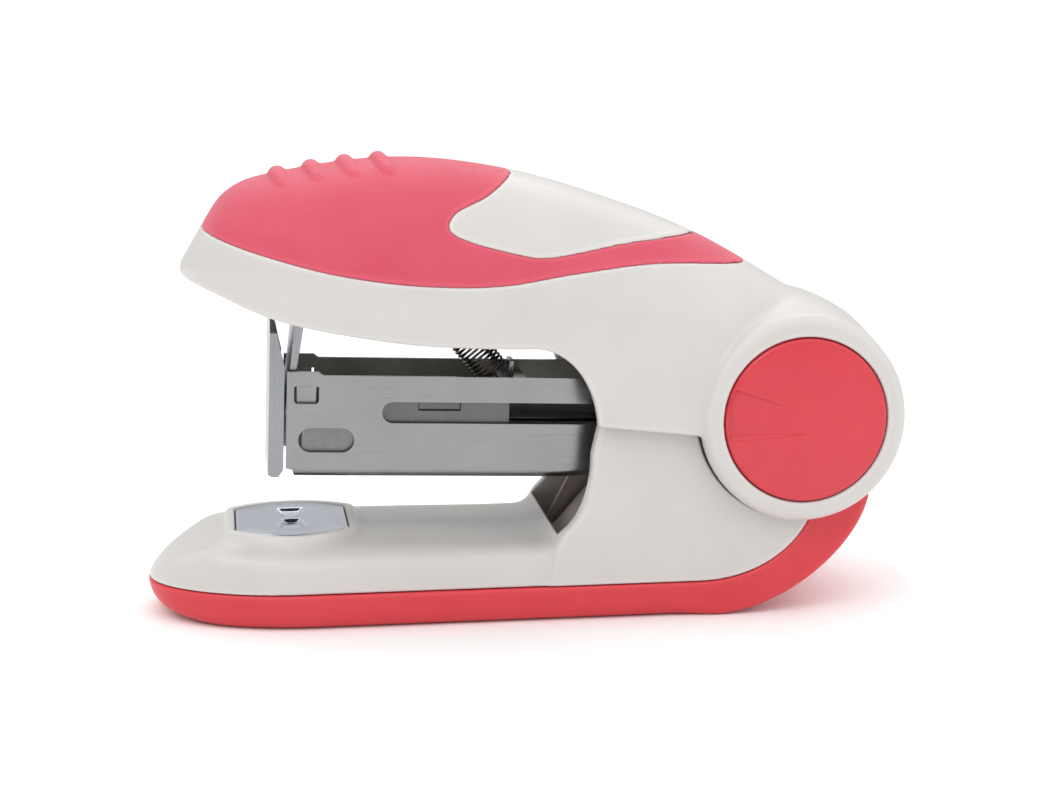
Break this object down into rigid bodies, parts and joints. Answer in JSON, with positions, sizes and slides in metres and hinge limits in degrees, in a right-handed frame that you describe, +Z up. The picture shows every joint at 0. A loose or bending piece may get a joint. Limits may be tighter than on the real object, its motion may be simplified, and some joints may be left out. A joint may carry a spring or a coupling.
{
  "type": "mini stapler",
  "caption": "Compact desktop stapler with a sprung metal magazine, a domed soft-grip handle and a flat plastic base on one pivot pin.",
  "frame": {"origin": "centre of the bounding box in plan, on the surface that the sole rests on", "axes": "+X along the length from the nose to the pivot, +Y across the width, +Z up"},
  "size_m": [0.0951, 0.0358, 0.0584],
  "materials": {
    "white_plastic": "satin moulded ABS, warm white",
    "soft_grip": "matte soft-touch overmould, pink",
    "cap_plastic": "smooth pink-red ABS",
    "sole_plastic": "satin pink-red ABS",
    "bright_steel": "nickel-plated pressed steel",
    "spring_steel": "darker plain spring steel"
  },
  "bodies": {
    "base": {"base_sole": "sole_plastic", "base_cover": "white_plastic", "base_frame": "spring_steel", "anvil_plate": "bright_steel", "anvil_rivet": "bright_steel", "lift_spring": "spring_steel", "lift_spring_rivet": "bright_steel", "pivot_pin": "bright_steel", "pin_clip": "spring_steel"},
    "magazine": {"magazine_case": "bright_steel", "front_plate": "bright_steel", "staple_rail": "bright_steel", "staple_strip": "bright_steel", "pusher_spring": "spring_steel", "spring_bridge": "bright_steel"},
    "pusher": {"pusher": "bright_steel"},
    "handle": {"handle_shell": "white_plastic", "grip_cover": "soft_grip", "handle_frame": "spring_steel", "driver_blade": "bright_steel", "driver_rivet_left": "bright_steel", "driver_rivet_right": "bright_steel", "spring_pin": "bright_steel", "handle_spring": "spring_steel", "cap_left": "cap_plastic", "cap_right": "cap_plastic"}
  },
  "joints": [
    {"name": "magazine_pivot", "type": "hinge", "parent": "base", "child": "magazine", "pos_m": [0.0346, 0, 0.0257], "axis": [0, 1, 0], "range_deg": [-6.1, 0], "stiffness_Nm_per_rad": 0.9, "springref_deg": 6.88, "deforming": ["lift_spring"]},
    {"name": "handle_pivot", "type": "hinge", "parent": "magazine", "child": "handle", "pos_m": [0.0346, 0, 0.0257], "axis": [0, 1, 0], "range_deg": [-6.9, 90], "stiffness_Nm_per_rad": 0.5, "deforming": ["handle_spring"]},
    {"name": "pusher_slide", "type": "slide", "parent": "magazine", "child": "pusher", "axis": [0.9994, 0, -0.0349], "range_m": [0, 0.014], "stiffness_N_per_m": 40, "springref_m": -0.02, "deforming": ["pusher_spring"]}
  ]
}
